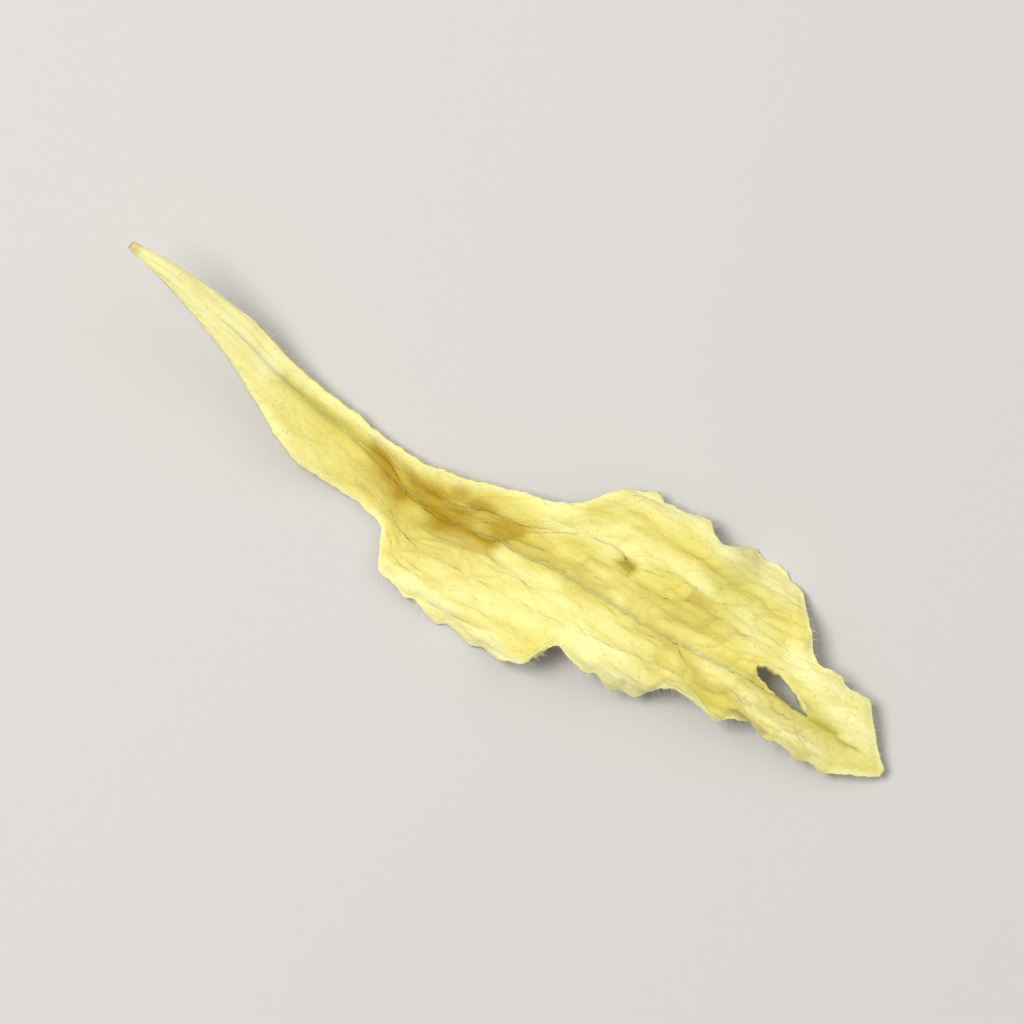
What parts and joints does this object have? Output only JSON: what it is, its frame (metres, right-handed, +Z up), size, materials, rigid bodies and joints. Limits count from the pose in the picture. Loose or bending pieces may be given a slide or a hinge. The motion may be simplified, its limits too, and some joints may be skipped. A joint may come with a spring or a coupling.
{
  "type": "dried stevia leaf",
  "caption": "Small dried leaf with toothed, curled margins, a folded base on a short stalk and a tear near its tip.",
  "frame": {"origin": "under the middle of the leaf's box, on the surface that it lies on", "axes": "+X from the stalk's broken end to the tip, +Y to the leaf's left side, +Z up out of its upper face"},
  "size_m": [0.0202, 0.0057, 0.0032],
  "materials": {
    "leaf": "dry, matt, pale yellow green leaf tissue"
  },
  "bodies": {
    "root": {"leaf": "leaf"}
  },
  "joints": []
}
